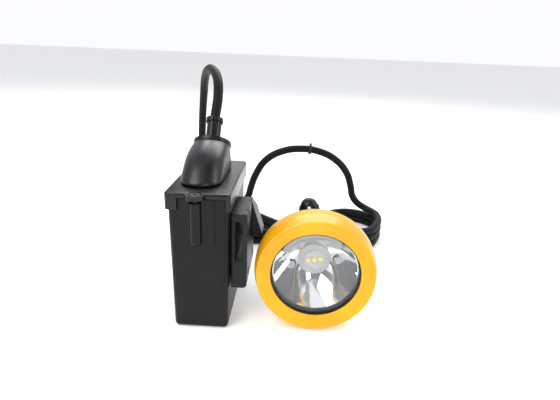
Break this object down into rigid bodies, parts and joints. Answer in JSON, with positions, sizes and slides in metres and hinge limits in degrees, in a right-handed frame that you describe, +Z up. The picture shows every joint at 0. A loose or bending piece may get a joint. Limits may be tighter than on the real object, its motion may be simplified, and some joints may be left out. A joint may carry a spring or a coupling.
{
  "type": "miner's cap lamp",
  "caption": "Corded miner's cap lamp: slim belt battery with a hooded cable outlet, a long rubber cable in a tied hank and a round lamp headpiece with a wide yellow bezel.",
  "frame": {"origin": "middle of the battery case's bottom face, on the surface that the lamp stands on", "axes": "+Z up; -Y is the way the lamp shines and the battery's narrow front faces; +X runs from the battery to the headpiece"},
  "size_m": [0.192, 0.2108, 0.1596],
  "materials": {
    "case_plastic": "satin black moulded plastic",
    "cover_plastic": "glossy black moulded plastic",
    "black_rubber": "matte black rubber",
    "cable_rubber": "smooth black rubber cable sheath",
    "yellow_plastic": "satin amber yellow moulded plastic",
    "window": "clear polished window",
    "mirror": "bright aluminised reflector",
    "led_white": "frosted white",
    "led_phosphor": "yellow phosphor",
    "clear_resin": "clear resin",
    "aluminium": "machined",
    "steel": "brushed stainless steel",
    "brass": "turned brass",
    "nickel": "nickel strip",
    "cell_sleeve": "shrink sleeve",
    "tray_plastic": "natural moulded plastic",
    "foam": "closed-cell foam",
    "board": "green circuit board",
    "components": "moulded chips",
    "wire_sleeve": "wire insulation"
  },
  "bodies": {
    "battery": {"battery_case": "case_plastic", "battery_cover": "cover_plastic", "cover_seal": "black_rubber", "cells": "cell_sleeve", "cell_trays": "tray_plastic", "nickel_strips": "nickel", "foam_pads": "foam", "protection_board": "board", "board_parts": "components", "battery_leads": "wire_sleeve", "lock_screws": "steel", "lock_inserts": "brass", "belt_bracket": "case_plastic", "bracket_screws": "steel", "bracket_inserts": "brass", "gland_nut": "cover_plastic", "gland_seal": "black_rubber", "strain_sleeve": "black_rubber", "cord_arch": "cable_rubber", "cord_loop": "cable_rubber", "cord_tail": "cable_rubber", "cord_hank": "cable_rubber", "hank_tie": "black_rubber", "cord_band": "black_rubber"},
    "headpiece": {"bezel": "yellow_plastic", "bezel_gasket": "black_rubber", "lens": "window", "reflector": "mirror", "led_board": "led_white", "led_package": "led_white", "led_dies": "led_phosphor", "small_leds": "clear_resin", "heat_sink": "aluminium", "driver_board": "board", "driver_parts": "components", "rear_shell": "case_plastic", "shell_o_ring": "black_rubber", "bezel_lock_pin": "steel", "switch_body": "components", "button_collar": "case_plastic", "cap_hook": "steel", "hook_screws": "steel", "head_gland": "black_rubber", "head_leads": "wire_sleeve"},
    "button": {"button_boot": "black_rubber", "button_plunger": "tray_plastic"}
  },
  "joints": [
    {"name": "head_roll", "type": "hinge", "parent": "battery", "child": "headpiece", "pos_m": [0.072, 0, 0.0393], "axis": [0, 1, 0], "range_deg": [0, 18]},
    {"name": "button_press", "type": "slide", "parent": "headpiece", "child": "button", "axis": [0.1564, 0, -0.9877], "range_m": [0, 0.0015], "stiffness_N_per_m": 900}
  ]
}
